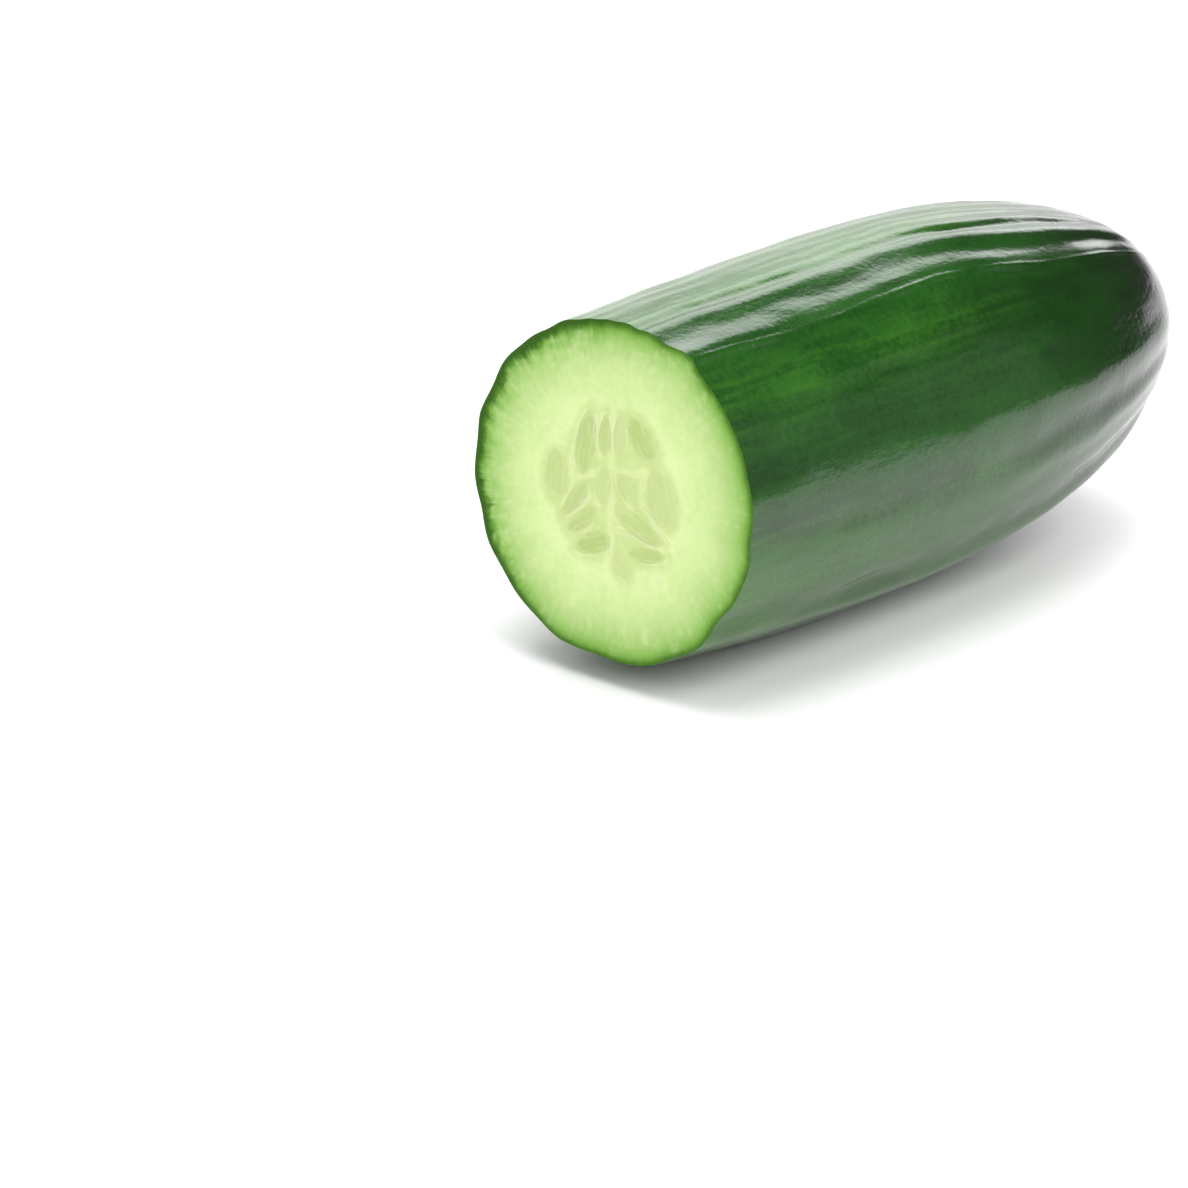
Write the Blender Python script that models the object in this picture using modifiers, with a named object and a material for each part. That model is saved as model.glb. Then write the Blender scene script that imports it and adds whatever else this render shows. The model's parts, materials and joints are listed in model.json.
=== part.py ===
"""End piece of a slicing cucumber, cut straight through near its thickest part.

The axis runs along +Y, from the cut face (towards -Y) to the blossom end. The piece lies on
its side on the plane Z = 0, and the origin is under the middle of its bounding box.
"""
import math

import bmesh
import bpy
from mathutils import Matrix, Vector

# Driving sizes, in metres. Distances along the axis start at the middle of the cut face.
LENGTH = 0.109              # cut face to blossom end
CUT_RADIUS = 0.0224         # mean radius at the cut
BELLY_RADIUS = 0.025        # mean radius where the fruit is thickest
BELLY_AT = 0.0525           # where the fruit is thickest
SAG = 0.0021                # how far the middle of the axis hangs below its ends
SIDE_BOW = 0.0016           # how far the middle of the axis lies towards -X of its ends
RIB_HEIGHT = 0.00042        # crest or furrow of a lengthwise rib, from the mean radius
RIB_FADE = 0.022            # the ribs die away over this length before the blossom end
SCAR_RADIUS = 0.0040        # blossom scar, a shallow round dimple
SCAR_DEPTH = 0.0007

# Form of the outline: 1 is straight like a cone, and more is flatter with a rounder end.
CUT_SIDE_POWER = 2.0
TIP_SIDE_POWER = 2.0
TIP_ROUNDNESS = 2.2

# The knife went through slightly askew: its plane is turned about Z, then about X.
CUT_YAW = math.radians(6.6)
CUT_TILT = math.radians(-5.6)

# Ribs, counted round the fruit. A furrow lies straight below, so two crests carry the weight.
RIB_COUNT = 10
FURROW_ANGLE = math.radians(-90.0)

# Mesh density.
SIDES = 6 * RIB_COUNT
RINGS_TO_BELLY = 11
RINGS_TO_TIP = 13
SCAR_RINGS = 4
SMOOTH_ANGLE = math.radians(50.0)

DOWN = Vector((0.0, 0.0, -1.0))


def clearScene():
    for item in list(bpy.data.objects):
        bpy.data.objects.remove(item, do_unlink=True)


def makeCollection(name):
    group = bpy.data.collections.new(name)
    bpy.context.scene.collection.children.link(group)
    return group


def bellyToTip(turn):
    """Distance along the axis and mean radius, from the belly (0) to the very tip (pi / 2)."""
    along = BELLY_AT + (LENGTH - BELLY_AT) * math.sin(turn) ** (2 / TIP_SIDE_POWER)
    radius = BELLY_RADIUS * math.cos(turn) ** (2 / TIP_ROUNDNESS)
    return along, radius


def tipTurn(radius):
    """The turn at which bellyToTip has this radius."""
    return math.acos((radius / BELLY_RADIUS) ** (TIP_ROUNDNESS / 2))


def cutSideRadius(along):
    """Mean radius from beyond the cut up to the belly."""
    swell = BELLY_RADIUS - CUT_RADIUS
    return BELLY_RADIUS - swell * abs(1 - along / BELLY_AT) ** CUT_SIDE_POWER


def outline():
    """Half outline as (radius, distance along the axis), from the tip to beyond the cut."""
    points = []
    for ring in range(SCAR_RINGS):
        radius = SCAR_RADIUS * ring / SCAR_RINGS
        along = bellyToTip(tipTurn(radius))[0]
        dimple = SCAR_DEPTH * (1 - (radius / SCAR_RADIUS) ** 2) ** 2
        points.append((radius, along - dimple))
    rimTurn = tipTurn(SCAR_RADIUS)
    for ring in range(RINGS_TO_TIP + 1):
        along, radius = bellyToTip(rimTurn * (1 - ring / RINGS_TO_TIP))
        points.append((radius, along))
    ringLength = BELLY_AT / RINGS_TO_BELLY
    overrun = math.ceil(BELLY_RADIUS * math.tan(math.hypot(CUT_YAW, CUT_TILT)) / ringLength) + 1
    for ring in range(1, RINGS_TO_BELLY + overrun + 1):
        along = BELLY_AT - ringLength * ring
        points.append((cutSideRadius(along), along))
    points.append((0.0, points[-1][1]))
    return points


def turnedFruit(group):
    """The plain round fruit: its outline turned about the axis by a Screw modifier."""
    points = outline()
    mesh = bpy.data.meshes.new("fruit_outline")
    corners = [(radius, 0.0, along) for radius, along in points]
    mesh.from_pydata(corners, [(i, i + 1) for i in range(len(corners) - 1)], [])
    fruit = bpy.data.objects.new("cucumber", mesh)
    group.objects.link(fruit)
    screw = fruit.modifiers.new("Turn", 'SCREW')
    screw.axis = 'Z'
    screw.steps = SIDES
    screw.render_steps = SIDES
    screw.use_merge_vertices = True
    screw.merge_threshold = 0.00001
    return fruit


def applyModifiers(piece):
    depsgraph = bpy.context.evaluated_depsgraph_get()
    mesh = bpy.data.meshes.new_from_object(piece.evaluated_get(depsgraph), depsgraph=depsgraph)
    piece.modifiers.clear()
    piece.data = mesh


def growRibsAndBow(mesh):
    """Moves the vertices out and in along the ribs, then bends the axis."""
    for vertex in mesh.vertices:
        x, along, z = vertex.co
        radius = math.hypot(x, z)
        if radius > 0.0:
            angle = math.atan2(z, x) - FURROW_ANGLE
            fade = min(max((LENGTH - along) / RIB_FADE, 0.0), 1.0)
            rib = -RIB_HEIGHT * math.cos(RIB_COUNT * angle) * math.sin(fade * math.pi / 2)
            grown = 1 + rib * min(radius / CUT_RADIUS, 1.0) / radius
            x *= grown
            z *= grown
        bow = 4 * ((along / LENGTH - 0.5) ** 2 - 0.25)
        vertex.co = (x + SIDE_BOW * bow, along, z + SAG * bow)


def makeKnife(group):
    """A block whose one face is the plane of the cut, through the axis's start."""
    side = 6 * BELLY_RADIUS
    bpy.ops.mesh.primitive_cube_add(size=side)
    knife = bpy.context.object
    knife.name = "knife"
    for owner in list(knife.users_collection):
        owner.objects.unlink(knife)
    group.objects.link(knife)
    turn = Matrix.Rotation(CUT_TILT, 4, 'X') @ Matrix.Rotation(CUT_YAW, 4, 'Z')
    knife.matrix_world = turn @ Matrix.Translation((0.0, -side / 2, 0.0))
    knife.hide_render = True
    knife.display_type = 'WIRE'
    return knife


def centreOfMass(faces):
    volume = 0.0
    moment = Vector()
    for face in faces:
        first = face.verts[0].co
        for second, third in zip(face.verts[1:-1], face.verts[2:]):
            part = first.dot(second.co.cross(third.co)) / 6
            volume += part
            moment += part * (first + second.co + third.co) / 4
    return moment / volume


def layDown(mesh):
    """Turns the piece to the lowest rest it has with its underside down, and centres it."""
    shape = bmesh.new()
    shape.from_mesh(mesh)
    centre = centreOfMass(shape.faces)
    hull = bmesh.new()
    for vertex in shape.verts:
        hull.verts.new(vertex.co)
    bmesh.ops.convex_hull(hull, input=hull.verts)
    hull.normal_update()
    nearDown = math.cos(math.pi / RIB_COUNT)
    facets = []
    for face in hull.faces:
        height = (face.verts[0].co - centre).dot(face.normal)
        outward = face.normal if height > 0 else -face.normal
        if outward.dot(DOWN) > nearDown:
            facets.append((abs(height), tuple(outward)))
    restOn = Vector(min(facets)[1])
    shape.transform(restOn.rotation_difference(DOWN).to_matrix().to_4x4())
    lowest = [min(vertex.co[axis] for vertex in shape.verts) for axis in range(3)]
    highest = [max(vertex.co[axis] for vertex in shape.verts) for axis in range(3)]
    middle = (Vector(lowest) + Vector(highest)) / 2
    shape.transform(Matrix.Translation((-middle.x, -middle.y, -lowest[2])))
    shape.to_mesh(mesh)
    hull.free()
    shape.free()


def skinMaterial():
    material = bpy.data.materials.new("cucumber_skin")
    material.use_nodes = True
    shader = material.node_tree.nodes["Principled BSDF"]
    shader.inputs["Base Color"].default_value = (0.022, 0.105, 0.016, 1.0)
    shader.inputs["Roughness"].default_value = 0.32
    shader.inputs["Metallic"].default_value = 0.0
    return material


def fleshMaterial():
    material = bpy.data.materials.new("cucumber_flesh")
    material.use_nodes = True
    shader = material.node_tree.nodes["Principled BSDF"]
    shader.inputs["Base Color"].default_value = (0.66, 0.84, 0.38, 1.0)
    shader.inputs["Roughness"].default_value = 0.4
    shader.inputs["Metallic"].default_value = 0.0
    return material


def makeCucumber():
    parts = makeCollection("cucumber_end_piece")
    cutters = makeCollection("cutters")
    fruit = turnedFruit(parts)
    applyModifiers(fruit)
    fruit.data.transform(Matrix.Rotation(-math.pi / 2, 4, 'X'))
    growRibsAndBow(fruit.data)
    fruit.data.materials.append(skinMaterial())
    knife = makeKnife(cutters)
    knife.data.materials.append(fleshMaterial())
    slicing = fruit.modifiers.new("Slice", 'BOOLEAN')
    slicing.operation = 'DIFFERENCE'
    slicing.solver = 'EXACT'
    slicing.material_mode = 'TRANSFER'
    slicing.object = knife
    bpy.context.view_layer.update()
    applyModifiers(fruit)
    layDown(fruit.data)
    fruit.data.shade_smooth()
    fruit.data.set_sharp_from_angle(angle=SMOOTH_ANGLE)
    return fruit


clearScene()
makeCucumber()
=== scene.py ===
import json
import math
import random

import bpy
from mathutils import Matrix, Vector


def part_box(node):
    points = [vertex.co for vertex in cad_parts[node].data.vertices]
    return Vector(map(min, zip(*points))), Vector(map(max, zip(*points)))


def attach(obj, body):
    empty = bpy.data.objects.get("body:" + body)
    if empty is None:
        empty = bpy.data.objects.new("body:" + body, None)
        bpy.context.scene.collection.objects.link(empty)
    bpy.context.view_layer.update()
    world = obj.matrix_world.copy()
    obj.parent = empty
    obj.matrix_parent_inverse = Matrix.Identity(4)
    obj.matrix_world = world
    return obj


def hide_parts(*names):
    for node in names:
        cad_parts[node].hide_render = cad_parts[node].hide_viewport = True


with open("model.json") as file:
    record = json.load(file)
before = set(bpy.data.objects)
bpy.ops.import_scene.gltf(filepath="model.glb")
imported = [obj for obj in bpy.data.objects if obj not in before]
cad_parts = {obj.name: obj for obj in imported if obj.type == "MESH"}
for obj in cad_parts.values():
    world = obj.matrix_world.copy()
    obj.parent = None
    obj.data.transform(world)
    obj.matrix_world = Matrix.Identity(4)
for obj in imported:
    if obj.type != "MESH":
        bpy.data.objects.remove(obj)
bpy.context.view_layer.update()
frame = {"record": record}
boxLow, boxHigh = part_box("cucumber")
cutMount = next(mount for mount in frame["record"]["mounts"] if mount["name"] == "cut_face")
cutNormal = Vector(cutMount["axis"]).normalized()   # points out of the cut
mm = 0.001
print("frame loaded, box", [round(v * 1000, 1) for v in boxHigh - boxLow], "mm")


# node helpers, for geometry trees and shader trees alike

class Wire:
    def __init__(self, tree, socket):
        self.tree = tree
        self.socket = socket

    def out(self, name):
        return Wire(self.tree, self.socket.node.outputs[name])

    def math(self, operation, *others):
        return self.tree.add("ShaderNodeMath", {"operation": operation}, dict(enumerate((self, *others))))

    def __add__(self, other):
        return self.math("ADD", other)

    def __radd__(self, other):
        return self.math("ADD", other)

    def __mul__(self, other):
        return self.math("MULTIPLY", other)

    def __rmul__(self, other):
        return self.math("MULTIPLY", other)

    def __sub__(self, other):
        return self.math("SUBTRACT", other)

    def __rsub__(self, other):
        return self.tree.add("ShaderNodeMath", {"operation": "SUBTRACT"}, {0: other, 1: self})

    def __truediv__(self, other):
        return self.math("DIVIDE", other)

    def __rtruediv__(self, other):
        return self.tree.add("ShaderNodeMath", {"operation": "DIVIDE"}, {0: other, 1: self})

    def __pow__(self, other):
        return self.math("POWER", other)

    def __lt__(self, other):
        return self.math("LESS_THAN", other)

    def clip(self, low=0.0, high=1.0):
        return self.math("MAXIMUM", low).math("MINIMUM", high)

    def smooth(self, start, end):   # 0 at start, 1 at end, eased
        return self.tree.add("ShaderNodeMapRange", {"interpolation_type": "SMOOTHSTEP"},
                             {"Value": self, "From Min": start, "From Max": end})


class Tree:
    def __init__(self, nodeTree):
        self.nodeTree = nodeTree

    def add(self, kind, settings=None, inputs=None, out=0):
        node = self.nodeTree.nodes.new(kind)
        for key, value in (settings or {}).items():
            if key == "stops":
                ramp = node.color_ramp
                while len(ramp.elements) < len(value):
                    ramp.elements.new(0.5)
                for element, (place, colour) in zip(ramp.elements, value):
                    element.position = place
                    element.color = (*colour, 1.0)
            else:
                setattr(node, key, value)
        for key, value in (inputs or {}).items():
            socket = node.inputs[key]
            if isinstance(value, Wire):
                self.nodeTree.links.new(value.socket, socket)
            else:
                socket.default_value = value
        return Wire(self, node.outputs[out]) if node.outputs else node

    def xyz(self, x, y, z):
        return self.add("ShaderNodeCombineXYZ", {}, {0: x, 1: y, 2: z})

    def split(self, vector):
        parts = self.add("ShaderNodeSeparateXYZ", {}, {0: vector})
        return parts, parts.out("Y"), parts.out("Z")

    def vec(self, operation, *vectors):
        return self.add("ShaderNodeVectorMath", {"operation": operation}, dict(enumerate(vectors)))

    def scaled(self, vector, factor):
        return self.add("ShaderNodeVectorMath", {"operation": "SCALE"}, {0: vector, "Scale": factor})

    def noise(self, vector, scale, detail=2.0, roughness=0.5):
        return self.add("ShaderNodeTexNoise", {}, {"Vector": vector, "Scale": scale, "Detail": detail,
                                                   "Roughness": roughness})

    def blend(self, factor, first, second):   # colours; factor may be a wire
        return self.add("ShaderNodeMix", {"data_type": "RGBA"}, {0: factor, 6: first, 7: second}, out=2)

    def bump(self, distance, height):
        return self.add("ShaderNodeBump", {}, {"Strength": 1.0, "Distance": distance, "Height": height})

    def store(self, geometry, name, value, kind="FLOAT"):
        return self.add("GeometryNodeStoreNamedAttribute", {"data_type": kind, "domain": "POINT"},
                        {"Geometry": geometry, "Name": name, "Value": value})

    def stored(self, name, kind="FLOAT"):
        return self.add("GeometryNodeInputNamedAttribute", {"data_type": kind}, {"Name": name})

    def distanceTo(self, piece, place):
        shape = self.add("GeometryNodeObjectInfo", {}, {"Object": piece}, out="Geometry")
        return self.add("GeometryNodeProximity", {"target_element": "FACES"},
                        {"Geometry": shape, "Sample Position": place}, out="Distance")


def geometryTree(name, sizes):
    group = bpy.data.node_groups.new(name, "GeometryNodeTree")
    group.interface.new_socket("Geometry", in_out="INPUT", socket_type="NodeSocketGeometry")
    group.interface.new_socket("Geometry", in_out="OUTPUT", socket_type="NodeSocketGeometry")
    kinds = {int: "NodeSocketInt", float: "NodeSocketFloat"}
    for label, value in sizes.items():   # what isn't a number is another piece
        kind = kinds.get(type(value), "NodeSocketObject")
        group.interface.new_socket(label, in_out="INPUT", socket_type=kind)
    tree = Tree(group)
    source = tree.add("NodeGroupInput")
    return tree, {label: source.out(label) for label in ("Geometry", *sizes)}


def finishTree(tree, geometry):
    tree.add("NodeGroupOutput", {}, {0: geometry})


def grow(name, mesh, tree, sizes):   # runs a geometry tree on a mesh and keeps the plain result
    holder = bpy.data.objects.new(name + "_source", mesh)
    bpy.context.scene.collection.objects.link(holder)
    modifier = holder.modifiers.new("Grow", "NODES")
    modifier.node_group = tree.nodeTree
    for item in tree.nodeTree.interface.items_tree:
        if item.in_out == "INPUT" and item.name in sizes:
            modifier[item.identifier] = sizes[item.name]
    bpy.context.view_layer.update()
    depsgraph = bpy.context.evaluated_depsgraph_get()
    result = bpy.data.meshes.new_from_object(holder.evaluated_get(depsgraph), depsgraph=depsgraph)
    bpy.data.objects.remove(holder, do_unlink=True)
    piece = bpy.data.objects.new(name, result)
    result.name = name
    bpy.context.scene.collection.objects.link(piece)
    print(name, "made,", len(result.polygons), "faces")
    return piece


# finishes

def newMaterial(name, constants):
    material = bpy.data.materials.new(name)
    material.use_nodes = True
    tree = Tree(material.node_tree)
    shader = material.node_tree.nodes["Principled BSDF"]
    for socket, value in constants.items():
        shader.inputs[socket].default_value = value
    return material, tree, shader


def wireUp(tree, shader, links):
    for socket, wire in links.items():
        tree.nodeTree.links.new(wire.socket, shader.inputs[socket])


def mark(tree, name):   # a number grown into the surface
    return tree.add("ShaderNodeAttribute", {"attribute_name": name}, out="Fac")


skinLook = {
    "deep": (0.0063, 0.040, 0.0044, 1.0),
    "leaf": (0.0130, 0.079, 0.0072, 1.0),
    "fresh": (0.034, 0.130, 0.012, 1.0),
    "tip": (0.003, 0.0045, 0.0022, 1.0),
    # painted shade: the colour put down in the furrows
    "furrow": (0.004, 0.022, 0.003, 1.0),
    "topHighlight": (0.042, 0.145, 0.012, 1.0),     # painted highlight: paler skin along the top
    "belly": (0.060, 0.185, 0.020, 1.0),     # and painted reflection of the floor: paler skin low down
    "cork": (0.072, 0.070, 0.025, 1.0),
    "scarHeart": (0.016, 0.018, 0.006, 1.0),
    "roughness": 0.20,
    "peel": 0.075 * mm,          # height of the orange-peel texture
    "streakScale": 420.0,        # noise scales, per metre
    "fineStreakScale": 900.0,
    "cloudScale": 110.0,
    "speckleScale": 1100.0,
    "topHighlightStarts": 32 * mm,      # heights above the surface
    "topHighlightFull": 42 * mm,
    "bellyStarts": 27 * mm,
    "bellyFull": 14 * mm,
}


def skinMaterial():
    material, tree, shader = newMaterial("cucumber_skin", {
        "IOR": 1.5, "Coat Weight": 0.2, "Subsurface Weight": 0.04, "Subsurface Scale": 0.001,
        "Subsurface Radius": (0.4, 1.0, 0.2), "Coat Roughness": 0.12})
    spot = tree.add("ShaderNodeTexCoord", out="Object")
    longSpot = tree.vec("MULTIPLY", spot, (1.0, 0.16, 1.0))
    along, rib, scar = mark(tree, "along"), mark(tree, "rib"), mark(tree, "scar")
    fineSpot = tree.vec("MULTIPLY", spot, (1.0, 0.07, 1.0))
    streaks = tree.noise(longSpot, skinLook["streakScale"], 3.0)
    fineStreaks = tree.noise(fineSpot, skinLook["fineStreakScale"], 3.0)
    cloud = tree.noise(tree.vec("MULTIPLY", spot, (1.0, 0.6, 1.0)), skinLook["cloudScale"], 3.0)
    speckle = tree.noise(spot, skinLook["speckleScale"], 2.0)
    lighter = ((streaks - 0.5) * 1.2 + (cloud - 0.5) * 1.0 + (speckle - 0.5) * 1.1 + 0.5).clip()
    colour = tree.blend(lighter, skinLook["deep"], skinLook["leaf"])
    # painted shade: the furrows darkened in colour
    colour = tree.blend(rib.smooth(-0.02, -0.24) * 0.5, colour, skinLook["furrow"])
    broken = (fineStreaks - 0.5) * 1.3 + (cloud - 0.5) * 1.6 + (speckle - 0.5) * 0.8 + 0.28
    stripe = mark(tree, "pale") * broken
    fresh = along.smooth(0.75, 0.3) * (stripe + (fineStreaks - 0.5) * 0.4)
    fresh = fresh + along.smooth(0.08, 0.0) * (fineStreaks - 0.42) * 1.2
    colour = tree.blend(fresh.clip(0.0, 0.9), colour, skinLook["fresh"])
    across, _, height = tree.split(spot)
    uneven = streaks * 0.8 + cloud * 0.8 + 0.2
    # painted highlight: the top of the skin, on its far side, made paler
    high = height.smooth(skinLook["topHighlightStarts"], skinLook["topHighlightFull"])
    topHighlight = high * across.smooth(7 * mm, 2 * mm) * uneven
    colour = tree.blend((topHighlight * 0.62).clip(), colour, skinLook["topHighlight"])
    # painted reflection of the floor: the lower skin made paler, more so near the cut
    low = height.smooth(skinLook["bellyStarts"], skinLook["bellyFull"])
    belly = low * (along.smooth(0.30, 0.0) * 0.24 + 0.19) * uneven
    colour = tree.blend(belly.clip(), colour, skinLook["belly"])
    dark = along.smooth(0.40, 0.95) * (1.05 - streaks * 0.3)
    colour = tree.blend(dark.clip(), colour, skinLook["tip"])
    ragged = scar + (tree.noise(spot, 1000.0, 3.0) - 0.5) * 0.9
    corky = ragged.smooth(1.0, 0.7) * 0.85
    colour = tree.blend(corky, colour, skinLook["cork"])
    colour = tree.blend(ragged.smooth(0.55, 0.25) * 0.8, colour, skinLook["scarHeart"])
    roughness = (streaks - 0.5) * 0.08 + (cloud - 0.5) * 0.10 + corky * 0.4 + skinLook["roughness"]
    peel = speckle * 0.7 + tree.noise(longSpot, 2600.0, 2.0) * 0.3
    bump = tree.bump(skinLook["peel"], peel)
    wireUp(tree, shader, {"Base Color": colour, "Roughness": roughness, "Normal": bump})
    return material


fleshLook = {   # stops by depth below the peel, as a share of fleshDepth
    "stops": [
        (0.00, (0.034, 0.112, 0.007)),
        (0.035, (0.075, 0.200, 0.017)),
        (0.075, (0.175, 0.370, 0.057)),
        (0.125, (0.270, 0.485, 0.108)),
        (0.19, (0.370, 0.575, 0.174)),
        (0.33, (0.500, 0.675, 0.262)),
        (0.50, (0.600, 0.765, 0.325)),
        (0.80, (0.700, 0.830, 0.405)),
        (0.88, (0.665, 0.790, 0.380)),
        (1.00, (0.600, 0.725, 0.315)),
    ],
    "jelly": (0.580, 0.705, 0.285, 1.0),
    "pale": (0.800, 0.880, 0.500, 1.0),
    "green": (0.330, 0.560, 0.120, 1.0),
    "cells": 0.04 * mm,          # height of the grain on the cut
}
fleshDepth = 14.0    # mm below the peel where the seed core starts


def fleshMaterial():
    material, tree, shader = newMaterial("cucumber_flesh", {
        "IOR": 1.38, "Specular IOR Level": 0.15, "Subsurface Weight": 0.25, "Subsurface Scale": 0.0008,
        "Subsurface Radius": (0.8, 1.0, 0.5)})
    spot = tree.add("ShaderNodeTexCoord", out="Object")
    depth, pocket, leftSide = mark(tree, "rimDepth"), mark(tree, "pocket"), mark(tree, "leftSide")
    spoke = tree.add("ShaderNodeAttribute", {"attribute_name": "spoke"}, out="Vector")
    teeth = (tree.noise(spoke, 0.9, 3.0, 0.65) - 0.5) * 2.4 + (tree.noise(spot, 700.0, 2.0) - 0.5) * 2.2
    peelBand = (leftSide.smooth(-0.1, 0.9) * 0.80 + 0.32) * (teeth + 1).clip(0.1, 2.4)
    ragged = depth - peelBand + teeth * 0.5 * depth.smooth(3.0, 0.3)
    share = ((ragged + 0.5) / fleshDepth).clip()
    colour = tree.add("ShaderNodeValToRGB", {"stops": fleshLook["stops"]}, {"Fac": share})
    colour = tree.blend((pocket * 0.8).clip(), colour, fleshLook["jelly"])
    colour = tree.blend((mark(tree, "wall") * 0.5).clip(), colour, fleshLook["pale"])
    rays = (tree.noise(spoke, 0.8, 3.0, 0.6) - 0.5) * depth.smooth(9.0, 4.0) * 0.9
    patches, grain = tree.noise(spot, 240.0, 4.0), tree.noise(spot, 1000.0, 2.0)
    mottle = ((patches - 0.5) * 1.3 + (grain - 0.5) * 1.1 + rays) * share.smooth(0.03, 0.09)
    colour = tree.blend((mottle * 0.45).clip(), colour, fleshLook["pale"])
    colour = tree.blend((mottle * -0.40).clip(), colour, fleshLook["green"])
    cells = tree.noise(spot, 2600.0, 2.0) * 0.5 + tree.noise(spot, 900.0, 2.0) * 0.5
    bump = tree.bump(fleshLook["cells"], cells)
    roughness = (tree.noise(spot, 700.0, 2.0) - 0.5) * 0.25 + 0.34
    wireUp(tree, shader, {"Base Color": colour, "Roughness": roughness, "Normal": bump})
    return material


seedLook = {
    "pale": (0.620, 0.745, 0.330, 1.0),
    "dark": (0.440, 0.560, 0.180, 1.0),
    "rim": (0.590, 0.718, 0.296, 1.0),
    "grain": 0.03 * mm,
}


def seedMaterial():
    material, tree, shader = newMaterial("cucumber_seed", {
        "IOR": 1.4, "Subsurface Weight": 0.3, "Subsurface Scale": 0.0012,
        "Subsurface Radius": (0.8, 1.0, 0.5)})
    local = tree.add("ShaderNodeAttribute", {"attribute_name": "seedPlace"}, out="Vector")
    tone = mark(tree, "tone")
    x, y, _ = tree.split(local)
    edge = (x * x * 4 + y * y * 4).clip() ** 0.5   # 0 in the middle, 1 on the outline
    spot = tree.add("ShaderNodeTexCoord", out="Object")
    colour = tree.blend(tone, seedLook["pale"], seedLook["dark"])
    cloud = tree.noise(tree.vec("MULTIPLY", local, (1.0, 2.5, 1.0)), 2.2, 3.0)
    colour = tree.blend(((cloud - 0.5) * 2.5).clip(0.0, 0.6), colour, seedLook["pale"])
    ragged = edge + (tree.noise(spot, 900.0, 2.0) - 0.5) * 0.35
    colour = tree.blend(ragged.smooth(0.62, 1.02), colour, seedLook["rim"])
    bump = tree.bump(seedLook["grain"], tree.noise(spot, 1300.0, 2.0))
    roughness = cloud * 0.2 + 0.2
    wireUp(tree, shader, {"Base Color": colour, "Roughness": roughness, "Normal": bump})
    return material


# pale fibre colour, partly real fibres and partly painted glints of the wet cut
fibreAndGlintLook = {
    "dull": (0.66, 0.78, 0.36, 1.0),
    "bright": (0.90, 0.97, 0.62, 1.0),
}


def fibreMaterial():
    material, tree, shader = newMaterial("cucumber_fibre", {
        "IOR": 1.4, "Subsurface Weight": 0.4, "Subsurface Scale": 0.001,
        "Subsurface Radius": (0.8, 1.0, 0.5), "Roughness": 0.25})
    spot = tree.add("ShaderNodeTexCoord", out="Object")
    colour = tree.blend(tree.noise(spot, 700.0, 2.0), fibreAndGlintLook["dull"], fibreAndGlintLook["bright"])
    wireUp(tree, shader, {"Base Color": colour})
    return material


skin = skinMaterial()
flesh = fleshMaterial()
seedFlesh = seedMaterial()
fibreFlesh = fibreMaterial()


# where the fruit lies: the axis runs from the cut to the blossom end, nose slightly up

lie = {
    "axisX": 1.6 * mm,          # axis at the cut, from the middle of the box
    "axisZ": 25.45 * mm,        # and above the surface
    "nosePitch": math.radians(1.5),
}
startX = (boxLow.x + boxHigh.x) / 2 + lie["axisX"]
startZ = boxLow.z + lie["axisZ"]
onCut = Vector(cutMount["pos_m"])
startY = onCut.y - (cutNormal.x * (startX - onCut.x) + cutNormal.z * (startZ - onCut.z)) / cutNormal.y
axisStart = Vector((startX, startY, startZ))
fruitTurn = Matrix.Rotation(lie["nosePitch"], 3, "X")
cutRight = (Vector((1, 0, 0)) - cutNormal * cutNormal.x).normalized()   # as seen from the cut side
cutUp = cutNormal.cross(cutRight)


def onFace(right, up):   # a point of the cut face, in mm from the axis
    return axisStart + (cutRight * right + cutUp * up) * mm


def shiftInFace(tree, place, seed, scale, wobble):   # a random shift that stays in the plane of the cut
    drift = tree.add("ShaderNodeTexNoise", {"noise_dimensions": "4D"},
                     {"Vector": place, "W": seed, "Scale": scale, "Detail": 1.0}, out=1)
    drift = tree.vec("SUBTRACT", drift, (0.5, 0.5, 0.5))
    lift = tree.vec("DOT_PRODUCT", drift, tuple(cutNormal)).out("Value")
    flat = tree.vec("SUBTRACT", drift, tree.scaled(tuple(cutNormal), lift))
    return tree.scaled(flat, wobble * 2)


# seeds, each from its pointed end to its round end, in mm from the axis: right, up

seedShape = {
    "Thickness": 1.1 * mm,
    "Sink": 0.03 * mm,          # rim of a seed, behind the cut
    "Flatness": 0.88,           # how much lower the cut side is than the hidden side
    "Taper": 0.32,              # how much narrower the pointed end is
    "Wobble": 0.22 * mm,
    "Wobble Scale": 320.0,
    "Seed": 4,
}
seeds = [   # pointed end, round end, width, tone
    ((-8.7, 4.2), (-8.4, -2.6), 5.0, 0.55),
    ((-3.6, 10.8), (-4.5, 1.5), 4.1, 0.80),
    ((-1.1, 10.5), (-1.1, 4.7), 2.5, 0.70),
    ((1.2, 10.8), (1.3, 5.0), 2.4, 0.30),
    ((2.5, 11.0), (6.8, 5.7), 4.2, 0.85),
    ((6.9, 5.1), (9.4, -2.4), 5.5, 0.45),
    ((1.3, 3.2), (4.4, -0.3), 3.3, 0.40),
    ((9.2, -4.7), (1.1, -1.7), 3.6, 0.65),
    ((9.7, -6.1), (3.3, -6.9), 2.6, 0.80),
    ((-7.4, -4.5), (-3.3, 1.0), 2.8, 0.70),
    ((-6.4, -6.3), (-1.6, -2.2), 2.9, 0.75),
    ((-5.1, -8.4), (0.8, -5.5), 3.7, 0.95),
    ((4.0, -10.6), (1.4, -7.6), 2.6, 0.35),
    ((-0.8, 3.9), (-1.0, -1.8), 2.9, 0.40),
]


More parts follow.
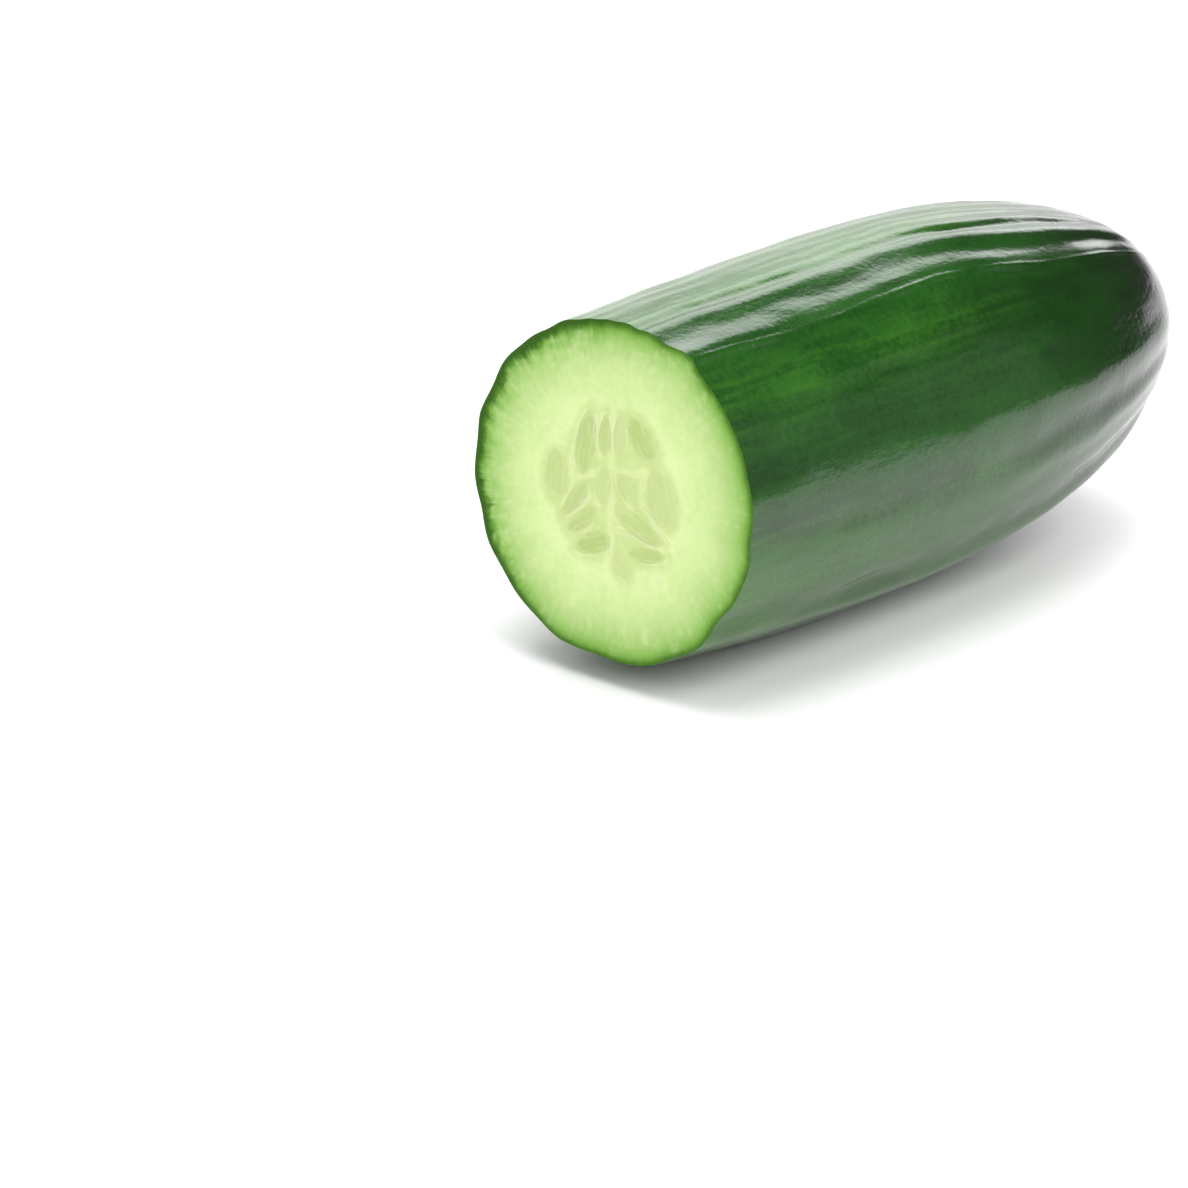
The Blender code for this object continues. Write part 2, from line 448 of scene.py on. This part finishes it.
def seedPoints():
    mesh = bpy.data.meshes.new("seed_points")
    middles = [(Vector(tip) + Vector(end)) / 2 for tip, end, _, _ in seeds]
    mesh.from_pydata([onFace(*middle) for middle in middles], [], [])
    for label, kind in (("along", "FLOAT_VECTOR"), ("size", "FLOAT_VECTOR"), ("tone", "FLOAT")):
        mesh.attributes.new(label, kind, "POINT")
    marks = mesh.attributes
    for index, (tip, end, width, tone) in enumerate(seeds):
        run = onFace(*end) - onFace(*tip)
        marks["along"].data[index].vector = run.normalized()
        marks["size"].data[index].vector = (run.length, width * mm, seedShape["Thickness"])
        marks["tone"].data[index].value = tone
    return mesh


def seedTree():
    tree, size = geometryTree("seeds", seedShape)
    lens = tree.add("GeometryNodeMeshUVSphere", {}, {"Segments": 40, "Rings": 24, "Radius": 0.5})
    place = tree.add("GeometryNodeInputPosition")
    x, y, z = tree.split(place)
    narrow = 1 - (0.5 - x) * size["Taper"]
    lens = tree.store(lens, "seedPlace", place, "FLOAT_VECTOR")
    flatter = z - z.math("MAXIMUM", 0.0) * size["Flatness"]
    lens = tree.add("GeometryNodeSetPosition", {},
                    {"Geometry": lens, "Position": tree.xyz(x, y * narrow, flatter)})
    along, scale = tree.stored("along", "FLOAT_VECTOR"), tree.stored("size", "FLOAT_VECTOR")
    turn = tree.add("FunctionNodeAxesToRotation", {"primary_axis": "Z", "secondary_axis": "X"},
                    {0: tuple(cutNormal), 1: along})
    sunk = tree.scaled(tuple(cutNormal), -1 * size["Sink"])
    points = tree.add("GeometryNodeSetPosition", {}, {"Geometry": size["Geometry"], "Offset": sunk})
    laid = tree.add("GeometryNodeInstanceOnPoints", {},
                    {"Points": points, "Instance": lens, "Rotation": turn, "Scale": scale})
    laid = tree.add("GeometryNodeRealizeInstances", {}, {"Geometry": laid})
    shift = shiftInFace(tree, place, size["Seed"], size["Wobble Scale"], size["Wobble"])
    laid = tree.add("GeometryNodeSetPosition", {}, {"Geometry": laid, "Offset": shift})
    laid = tree.add("GeometryNodeSetShadeSmooth", {}, {"Geometry": laid})
    finishTree(tree, tree.add("GeometryNodeSetMaterial", {}, {"Geometry": laid, "Material": seedFlesh}))
    return tree


# pale fibres between the seeds, partly real and partly painted glints of the wet cut: start, middle, end in
# mm from the axis, and half thickness in mm

fibreShape = {
    "Wobble": 0.30 * mm,
    "Proud": 0.015 * mm,
    "Wobble Scale": 420.0,
    "Flattened To": 0.03 * mm,  # half height that thick ones are pressed to
    "Seed": 9,
}
hairFine = 0.015     # half thickness in mm
fibreSteps = 14
fibres = [
    ((-2.9, 9.6), (-3.0, 8.2), (-2.7, 6.9), 0.12), ((-3.6, 9.2), (-3.7, 8.0), (-3.4, 6.6), 0.05),
    ((1.0, 10.2), (1.4, 9.3), (2.0, 8.3), 0.12), ((0.5, 8.8), (0.6, 7.8), (0.8, 6.4), 0.07),
    ((1.3, 8.0), (1.5, 7.3), (1.6, 6.4), 0.05), ((0.1, 10.6), (-0.2, 7.5), (0.1, 3.8), 0.02),
    ((0.0, 3.6), (2.4, 2.7), (5.6, 4.4), 0.02), ((5.6, 4.4), (4.9, 1.8), (5.4, -0.4), 0.02),
    ((5.2, -0.2), (7.2, -1.3), (10.2, -4.4), 0.07), ((-0.2, 2.6), (0.6, -1.4), (0.5, -4.2), 0.02),
    ((-6.6, -4.2), (-5.2, -2.9), (-4.0, -1.4), 0.07), ((-4.7, -2.3), (-4.2, -1.8), (-3.7, -1.2), 0.13),
    ((-5.9, -3.6), (-5.5, -3.2), (-5.1, -2.9), 0.11), ((-7.2, -3.2), (-6.0, -1.4), (-5.8, 1.2), 0.02),
    ((-5.8, -6.0), (-4.4, -4.9), (-2.8, -3.9), 0.06), ((-4.6, -5.4), (-3.4, -4.7), (-2.6, -4.3), 0.05),
    ((0.5, -4.2), (0.9, -6.4), (0.2, -9.4), 0.03), ((0.5, -4.2), (3.6, -4.0), (8.6, -4.9), 0.04),
    ((6.4, 3.8), (7.9, 1.4), (8.8, -1.2), 0.03), ((6.0, 2.7), (6.9, 0.6), (8.0, -1.6), 0.03),
    ((-6.3, 1.2), (-6.2, 4.6), (-4.6, 9.4), 0.02), ((0.2, 3.8), (-2.6, 2.0), (-5.9, 1.0), 0.02),
    ((7.6, -10.3), (8.4, -9.8), (9.3, -9.0), 0.04), ((8.5, -10.6), (9.1, -10.2), (9.8, -9.6), 0.03),
]


def fibreLines():
    dots = random.Random(fibreShape["Seed"])
    lines = list(fibres)
    for tip, end, width, _ in seeds:   # a few hair-fine ones beside each seed
        for _ in range(dots.choice((1, 2, 2))):
            off = width * dots.uniform(-0.32, 0.32)
            run = Vector(end) - Vector(tip)
            across = Vector((-run.y, run.x)).normalized() * off
            first = Vector(tip) + run * dots.uniform(0.0, 0.3) + across * 0.6
            last = Vector(tip) + run * dots.uniform(0.6, 1.0) + across
            lines.append((first, (first + last) / 2 + across * 0.2, last, hairFine))
    points, edges, thick = [], [], []
    for first, middle, last, half in lines:
        start = len(points)
        for step in range(fibreSteps + 1):
            t = step / fibreSteps
            pair = [first[i] * (1 - t) ** 2 + middle[i] * 2 * t * (1 - t) + last[i] * t ** 2 for i in (0, 1)]
            points.append(onFace(*pair))
            thick.append(half * mm * (0.25 + 0.75 * math.sin(math.pi * t)))
        edges += [(start + step, start + step + 1) for step in range(fibreSteps)]
    mesh = bpy.data.meshes.new("fibre_lines")
    mesh.from_pydata(points, edges, [])
    mesh.attributes.new("thick", "FLOAT", "POINT")
    for index, value in enumerate(thick):
        mesh.attributes["thick"].data[index].value = value
    return mesh


def fibreTree():
    tree, size = geometryTree("fibres", fibreShape)
    place = tree.add("GeometryNodeInputPosition")
    shift = shiftInFace(tree, place, size["Seed"], size["Wobble Scale"], size["Wobble"])
    move = tree.vec("ADD", shift, tree.scaled(tuple(cutNormal), size["Proud"]))
    lines = tree.add("GeometryNodeSetPosition", {}, {"Geometry": size["Geometry"], "Offset": move})
    thick = tree.stored("thick")
    lines = tree.add("GeometryNodeMeshToCurve", {}, {"Mesh": lines})
    ring = tree.add("GeometryNodeCurvePrimitiveCircle", {"mode": "RADIUS"}, {"Resolution": 8, 4: 1.0})
    tubes = tree.add("GeometryNodeCurveToMesh", {}, {"Curve": lines, "Profile Curve": ring, "Scale": thick,
                                                     "Fill Caps": True})
    fromAxis = tree.vec("SUBTRACT", place, tuple(axisStart))
    offFace = tree.vec("DOT_PRODUCT", fromAxis, tuple(cutNormal)).out("Value")
    press = offFace * ((size["Flattened To"] / thick).math("MINIMUM", 1.0) - 1)
    tubes = tree.add("GeometryNodeSetPosition", {}, {"Geometry": tubes,
                                                     "Offset": tree.scaled(tuple(cutNormal), press)})
    tubes = tree.add("GeometryNodeSetShadeSmooth", {}, {"Geometry": tubes})
    tubes = tree.add("GeometryNodeRealizeInstances", {}, {"Geometry": tubes})
    finishTree(tree, tree.add("GeometryNodeSetMaterial", {}, {"Geometry": tubes, "Material": fibreFlesh}))
    return tree


# the fruit: skin and cut face in one closed surface, ring by ring from the middle of the cut

bodyShape = {
    "Length": 109 * mm,
    "Cut Radius": 22.4 * mm,
    "Belly Radius": 25 * mm,
    "Belly At": 52.5 * mm,
    "Tip Roundness": 2.2,
    "Sag": 2.1 * mm,
    "Side Bow": 1.6 * mm,
    "Rib Height": 1 * mm,       # what the heights in the list of ribs are counted in
    "Rib Ground": 0.22,         # how far the furrows lie below the plain shape
    "Rib Wander": 0.16,
    "Rib Drift": 0.235,         # the ribs run to a blossom end a little to one side
    "Drift Towards": math.radians(9),
    "Drift Starts": 0.35,       # shares of the length
    "Drift Ends": 0.80,
    "Rib Fade": 24 * mm,
    "Dents": 0.5 * mm,
    "Fine Dents": 0.14 * mm,
    "Wander Scale": 38.0,       # noise scales, per metre
    "Swell Scale": 90.0,
    "Dent Scale": 110.0,
    "Fine Dent Scale": 420.0,
    "Scar Radius": 4.0 * mm,
    "Scar Depth": 0.7 * mm,
    "Scar Rim": 0.16 * mm,
    "Rim At": 1.1,              # in scar radii
    "Rim Sharpness": 3.2,
    "Outside Scar": 9.0,        # in scar radii, more than any part of the scar
    "Pocket Depth": 0.01 * mm,
    "Pocket Reach": 1.2 * mm,
    "Pocket Edge": 0.35 * mm,
    "Jelly Reach": 1.4 * mm,    # how far the darker tint spreads round a seed
    "Jelly Edge": 0.1 * mm,
    "Wall Reach": 0.9 * mm,     # and the pale one round a fibre
    "Left Side": math.radians(160),
    "Spokes Round": 22.0,       # grain of the rays in the flesh, round the rim
    "Spokes Inward": 3.0,       # and towards the middle
    "Sides": 340,
    "Skin Rings": 205,
    "Face Rings": 80,
    "Crowding": 0.5,            # sides lie closer together where the finest ribs are
    "Crowded At": math.radians(50),
    "Belly Share": 0.45,        # share of the skin rings between the cut and the belly
    "Join Within": 0.01 * mm,
}
sharpFrom = math.radians(42)
ribs = [   # angle round the axis from the right, height, half width; angles in degrees
    (-126, 0.35, 6.0), (-108, 0.42, 7.0), (-90, -0.20, 9.0), (-72, 0.42, 7.0), (-46, 0.46, 4.6),
    (-36, -0.38, 4.6), (-24, 0.18, 5.0), (-12, 0.40, 4.0), (-4.0, -0.16, 3.4), (7.5, 0.14, 4.6),
    (31, 0.10, 6.0), (45, 0.14, 4.5), (59.2, 0.20, 0.85), (61.5, 0.55, 4.5), (79.0, 0.34, 3.4),
    (81.5, -0.24, 1.8), (86, 0.34, 2.8), (94, 0.28, 3.0), (102, 0.20, 2.4), (112, 0.40, 4.6),
    (126, 0.34, 5.0), (141, 0.60, 6.5), (163, 0.50, 6.0), (186, 0.40, 6.0), (209, 0.45, 6.0),
]
localRibs = [   # angle, height, half width, where they start and stand out fully, in shares of the length
    (61.0, 0.60, 4.0, 0.09, 0.0), (10.0, 0.55, 6.5, 0.14, 0.75), (74.0, 0.60, 3.2, 0.40, 0.62),
]
paleStripes = [   # angle, strength, half width in degrees
    (45, 0.7, 6.5), (28, 0.15, 5.0), (-5, 0.45, 4.5), (-24, 0.3, 4.0), (86, 0.7, 6.0), (112, 0.5, 5.0),
    (139, 0.8, 5.0), (165, 0.6, 4.0), (190, 0.8, 5.5), (222, 0.7, 5.0), (250, 0.6, 5.0), (-62, 0.6, 5.0),
]


def crest(angle, at, wide):   # 1 along a line at this angle in degrees, dying away to both sides
    off = ((angle - math.radians(at)).math("COSINE") - 1) * (math.radians(wide) ** -2)
    return off.math("EXPONENT")


def skinRelief(tree, size, spot, ribAngle, along):   # how far the skin stands out from the plain shape
    share = along / size["Length"]
    swell = tree.noise(tree.vec("MULTIPLY", spot, (1.0, 0.8, 1.0)), size["Swell Scale"], 1.0) * 2.2 - 0.1
    relief = -1 * size["Rib Ground"]
    for at, high, wide in ribs:
        relief = crest(ribAngle, at, wide) * high + relief
    relief = relief * swell
    for at, high, wide, start, full in localRibs:
        relief = relief + crest(ribAngle, at, wide) * share.smooth(start, full) * high
    longSpot = tree.vec("MULTIPLY", spot, (1.0, 0.22, 1.0))
    fineSpot = tree.vec("MULTIPLY", spot, (1.0, 0.3, 1.0))
    dents = (tree.noise(longSpot, size["Dent Scale"], 1.0) - 0.5) * size["Dents"]
    fineDents = (tree.noise(fineSpot, size["Fine Dent Scale"], 1.0) - 0.5) * size["Fine Dents"]
    fade = (((size["Length"] - along) / size["Rib Fade"]).clip() * (math.pi / 2)).math("SINE")
    return (relief * size["Rib Height"] + dents + fineDents) * fade


def restAndTint(tree, size, shape):   # nothing passes below the surface; the cut is marked near its seeds
    place = tree.add("GeometryNodeInputPosition")
    x, y, z = tree.split(place)
    shape = tree.add("GeometryNodeSetPosition", {},
                     {"Geometry": shape, "Position": tree.xyz(x, y, z.math("MAXIMUM", boxLow.z))})
    onCutFace = tree.stored("ring") < size["Face Rings"] - 0.5
    toSeed = tree.distanceTo(size["Seeds"], place)
    toFibre = tree.distanceTo(size["Fibres"], place)
    pocket = toSeed.smooth(size["Pocket Reach"], size["Pocket Edge"]) * onCutFace
    shape = tree.store(shape, "pocket", toSeed.smooth(size["Jelly Reach"], size["Jelly Edge"]) * onCutFace)
    shape = tree.store(shape, "wall", toFibre.smooth(size["Wall Reach"], 0.0) * onCutFace)
    sink = tree.scaled(tuple(-cutNormal), pocket * size["Pocket Depth"])
    return tree.add("GeometryNodeSetPosition", {}, {"Geometry": shape, "Offset": sink})


def bodyTree(sizes):
    tree, size = geometryTree("fruit", sizes)
    faceRings = size["Face Rings"]
    rings = faceRings + size["Skin Rings"]
    shape = tree.add("GeometryNodeMeshGrid", {}, {"Size X": 1.0, "Size Y": 1.0,
                                                  "Vertices X": size["Sides"] + 1, "Vertices Y": rings + 1})
    across, up, _ = tree.split(tree.add("GeometryNodeInputPosition"))
    ring = (up + 0.5) * rings
    evenly = (across + 0.5) * (-2 * math.pi)
    angle = evenly - (evenly - size["Crowded At"]).math("SINE") * size["Crowding"]
    cosine, sine = angle.math("COSINE"), angle.math("SINE")

    # distance along the axis, starting where this side meets the slanted cut
    normal = fruitTurn.inverted() @ cutNormal
    slantX, slantZ = -normal.x / normal.y, -normal.z / normal.y
    cutAlong = (cosine * slantX + sine * slantZ) * size["Cut Radius"]
    share = ((ring - faceRings) / size["Skin Rings"]).clip()
    near = (share / size["Belly Share"]).clip()
    turn = ((share - size["Belly Share"]) / (1 - size["Belly Share"])).clip() * (math.pi / 2)
    nearAlong = cutAlong + (size["Belly At"] - cutAlong) * near
    along = nearAlong + (size["Length"] - size["Belly At"]) * turn.math("SINE")
    narrowing = (1 - nearAlong / size["Belly At"]) ** 2.0
    plain = size["Belly Radius"] - (size["Belly Radius"] - size["Cut Radius"]) * narrowing
    plain = plain * turn.math("COSINE").clip() ** (2 / size["Tip Roundness"])

    # ribs, which wander a little, swell and sink, and run out before the blossom end
    spot = tree.xyz(plain * cosine, along, plain * sine)
    slow = tree.vec("MULTIPLY", spot, (0.6, 1.0, 0.6))
    wander = (tree.noise(slow, size["Wander Scale"], 2.0) - 0.5) * size["Rib Wander"]
    drifted = (along / size["Length"]).smooth(size["Drift Starts"], size["Drift Ends"]) * size["Rib Drift"]
    ribAngle = angle + wander + (angle - size["Drift Towards"]).math("SINE") * drifted
    relief = skinRelief(tree, size, spot, ribAngle, along)
    radius = plain + relief * (plain / size["Cut Radius"]).clip()
    bow = 4 * ((along / size["Length"] - 0.5) ** 2.0 - 0.25)

    # the blossom scar is a dimple with a low rim
    onFlank = turn < 0.5
    fromScar = plain / size["Scar Radius"] + onFlank * size["Outside Scar"]
    dimple = (1 - fromScar.clip() ** 2.0) ** 2.0 * size["Scar Depth"]
    offRim = ((fromScar - size["Rim At"]) * size["Rim Sharpness"]) ** 2.0
    scarRim = (offRim * -1.0).math("EXPONENT") * size["Scar Rim"]

    # the face is flat, and its rings close in on the axis
    inFace = (ring / faceRings).clip()
    side = (radius * cosine + size["Side Bow"] * bow) * inFace
    height = (radius * sine + size["Sag"] * bow) * inFace
    cutPlane = side * slantX + height * slantZ
    isFace = ring < faceRings + 0.5
    length = cutPlane * isFace + (along - dimple + scarRim) * (1 - isFace)

    pale = 0.0
    for at, strength, wide in paleStripes:
        pale = crest(ribAngle, at, wide) * strength + pale
    marks = {"ring": ring, "pale": pale, "rimDepth": (1 - inFace) * radius * 1000,
             "along": along / size["Length"], "rib": relief * 1000, "scar": fromScar,
             "leftSide": (angle - size["Left Side"]).math("COSINE")}
    for name, value in marks.items():
        shape = tree.store(shape, name, value)
    grain = size["Spokes Round"]
    spoke = tree.xyz(cosine * grain, sine * grain, inFace * size["Spokes Inward"])
    shape = tree.store(shape, "spoke", spoke, "FLOAT_VECTOR")
    shape = tree.add("GeometryNodeSetPosition", {},
                     {"Geometry": shape, "Position": tree.xyz(side, length, height)})
    shape = tree.add("GeometryNodeMergeByDistance", {}, {"Geometry": shape, "Distance": size["Join Within"]})
    shape = tree.add("GeometryNodeTransform", {}, {"Geometry": shape, "Translation": tuple(axisStart),
                                                   "Rotation": (lie["nosePitch"], 0.0, 0.0)})
    shape = restAndTint(tree, size, shape)
    shape = tree.add("GeometryNodeSetShadeSmooth", {}, {"Geometry": shape})
    shape = tree.add("GeometryNodeRealizeInstances", {}, {"Geometry": shape})
    shape = tree.add("GeometryNodeSetMaterial", {}, {"Geometry": shape, "Material": skin})
    isFlesh = tree.stored("ring") < faceRings + 0.5
    finishTree(tree, tree.add("GeometryNodeSetMaterial", {},
                              {"Geometry": shape, "Selection": isFlesh, "Material": flesh}))
    return tree


# put the piece together

seedPiece = grow("cucumber_seeds", seedPoints(), seedTree(), seedShape)
fibrePiece = grow("cucumber_fibres", fibreLines(), fibreTree(), fibreShape)
bodySizes = {**bodyShape, "Seeds": seedPiece, "Fibres": fibrePiece}
body = grow("cucumber_body", bpy.data.meshes.new("empty_start"), bodyTree(bodySizes), bodySizes)
body.data.set_sharp_from_angle(angle=sharpFrom)
for piece in (body, seedPiece, fibrePiece):
    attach(piece, "root")
    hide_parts("cucumber")


# floor, lights and camera

floorHalf = 2.5
floorGreys = (0.86, 0.86, 0.86, 1.0), (0.88, 0.88, 0.88, 1.0)


def stageMaterial():
    material, tree, shader = newMaterial("pale_floor", {"Roughness": 0.5, "Specular IOR Level": 0.2})
    spot = tree.add("ShaderNodeTexCoord", out="Object")
    colour = tree.blend(tree.noise(spot, 6.0, 3.0), *floorGreys)
    wireUp(tree, shader, {"Base Color": colour})
    return material


def makeFloor():
    mesh = bpy.data.meshes.new("floor")
    corners = [(x * floorHalf, y * floorHalf, 0) for x, y in ((-1, -1), (1, -1), (1, 1), (-1, 1))]
    mesh.from_pydata(corners, [], [(0, 1, 2, 3)])
    mesh.materials.append(stageMaterial())
    floor = bpy.data.objects.new("floor", mesh)
    bpy.context.scene.collection.objects.link(floor)


lights = [   # name, where it stands in m, half sizes, the point it faces, brightness
    ("overhead", (-0.10, 0.02, 1.00), (0.50, 0.42), (-0.05, 0.0, 0.0), 4.4),
    ("front_top", (0.10, -0.90, 0.75), (0.45, 0.30), (0.0, 0.0, 0.03), 1.55),
    ("camera_side", (0.95, -0.50, 0.70), (0.40, 0.45), (0.0, 0.0, 0.03), 1.3),
    ("side_fill", (0.85, 0.08, 0.82), (0.45, 0.42), (0.0, 0.0, 0.03), 4.4),
    ("front_left", (-0.60, -0.80, 0.40), (0.35, 0.35), (0.0, 0.0, 0.03), 0.8),
    ("strip", (-0.48, 1.10, 0.58), (0.95, 0.22), (0.0, 1.10, 0.03), 2.8),
    ("backdrop_glow", (-1.03, 0.93, 0.28), (0.76, 0.27), (0.0, 0.0, 0.10), 1.25),
    ("low_glow", (1.02, 0.72, 0.40), (0.50, 0.36), (0.0, 0.0, 0.10), 0.26),
]
worldBrightness = 0.05


def makeLights():
    for name, place, (halfWidth, halfHeight), target, brightness in lights:
        lamp = bpy.data.lights.new(name, "AREA")
        lamp.shape = "RECTANGLE"
        lamp.size = halfWidth * 2
        lamp.size_y = halfHeight * 2
        lamp.energy = brightness * math.pi * lamp.size * lamp.size_y
        holder = bpy.data.objects.new(name, lamp)
        holder.location = place
        holder.rotation_euler = (Vector(target) - Vector(place)).to_track_quat("-Z", "Y").to_euler()
        bpy.context.scene.collection.objects.link(holder)
    world = bpy.data.worlds.new("studio")
    world.use_nodes = True
    background = world.node_tree.nodes["Background"]
    background.inputs["Color"].default_value = (1.0, 1.0, 1.0, 1.0)
    background.inputs["Strength"].default_value = worldBrightness
    bpy.context.scene.world = world
    bpy.context.scene.view_settings.view_transform = "Standard"


view = {
    "heading": math.radians(45.38),     # turned left from +Y
    "pitch": math.radians(22.06),       # looking down
    "lens": 95.97,
    "place": (267.9 * mm, -318.2 * mm, 164.3 * mm),   # from the middle of the surface under the fruit
}


def makeCamera():
    data = bpy.data.cameras.new("view")
    data.lens = view["lens"]
    data.sensor_width = 36.0
    data.clip_start = 0.01
    camera = bpy.data.objects.new("view", data)
    camera.location = Vector(view["place"])
    camera.rotation_euler = (math.pi / 2 - view["pitch"], 0.0, view["heading"])
    bpy.context.scene.collection.objects.link(camera)
    bpy.context.scene.camera = camera


makeFloor()
makeLights()
makeCamera()
print("stage set")
